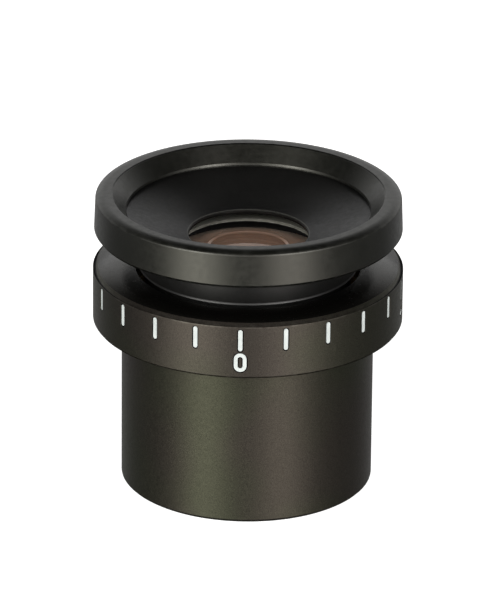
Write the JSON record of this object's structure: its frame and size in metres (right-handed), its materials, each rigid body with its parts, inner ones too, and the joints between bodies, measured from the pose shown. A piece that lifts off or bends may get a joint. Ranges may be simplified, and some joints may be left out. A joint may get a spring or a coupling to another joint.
{
  "type": "focusing plug-in eyepiece",
  "caption": "Black focusing wide-field eyepiece with a smooth plug barrel, a dioptre ring with a white scale and a wide shallow twist-up eyecup.",
  "frame": {"origin": "centre of the plug barrel's lower face, which is also the centre of the box's base", "axes": "+Z along the optical axis towards the eye; -Y is the side that carries the scale's zero"},
  "size_m": [0.0368, 0.0368, 0.0359],
  "materials": {
    "barrel_anodised": "satin black anodised, fine blasted grain",
    "ring_anodised": "satin black anodised, fine blasted grain",
    "inner_anodised": "matt black anodised",
    "cup_plastic": "fine matt moulded",
    "rim_rubber": "matt moulded",
    "scale_paint": "white engraving fill",
    "lens_glass": "coated",
    "cam_brass": "turned",
    "spring_steel": "bright",
    "black_steel": "black oxide",
    "washer_plastic": "natural",
    "ring_rubber": "smooth"
  },
  "bodies": {
    "plug": {"barrel": "barrel_anodised", "field_stop": "inner_anodised", "friction_washer": "washer_plastic"},
    "diopter": {"cam_sleeve": "cam_brass", "sleeve_snap_ring": "spring_steel", "diopter_ring": "ring_anodised", "diopter_scale": "scale_paint", "ring_set_screws": "black_steel"},
    "carrier": {"lens_carrier": "inner_anodised", "cam_pins": "spring_steel", "eye_lens": "lens_glass", "eye_lens_retaining_ring": "inner_anodised", "eye_spacer": "inner_anodised", "middle_crown_lens": "lens_glass", "middle_flint_lens": "lens_glass", "field_flint_lens": "lens_glass", "field_crown_lens": "lens_glass", "rear_retaining_ring": "inner_anodised", "eyecup_stop_ring": "spring_steel"},
    "cup_lift": {"eyecup_drag_ring": "ring_rubber"},
    "eyecup": {"eyecup_body": "cup_plastic", "eyecup_rim": "rim_rubber"}
  },
  "joints": [
    {"name": "diopter_turn", "type": "hinge", "parent": "plug", "child": "diopter", "pos_m": [0, 0, 0.022], "axis": [0, 0, 1], "range_deg": [-85, 85]},
    {"name": "focus_slide", "type": "slide", "parent": "plug", "child": "carrier", "axis": [0, 0, 1], "range_m": [-0.002, 0.002]},
    {"name": "eyecup_rise", "type": "slide", "parent": "carrier", "child": "cup_lift", "axis": [0, 0, 1], "range_m": [0, 0.0045]},
    {"name": "eyecup_turn", "type": "hinge", "parent": "cup_lift", "child": "eyecup", "pos_m": [0, 0, 0.0212], "axis": [0, 0, 1], "range_deg": [0, 270]}
  ],
  "couplings": [
    {"joint": "focus_slide", "follows": "diopter_turn", "m_per_rad": -0.001348},
    {"joint": "eyecup_rise", "follows": "eyecup_turn", "m_per_rad": 0.000954}
  ]
}
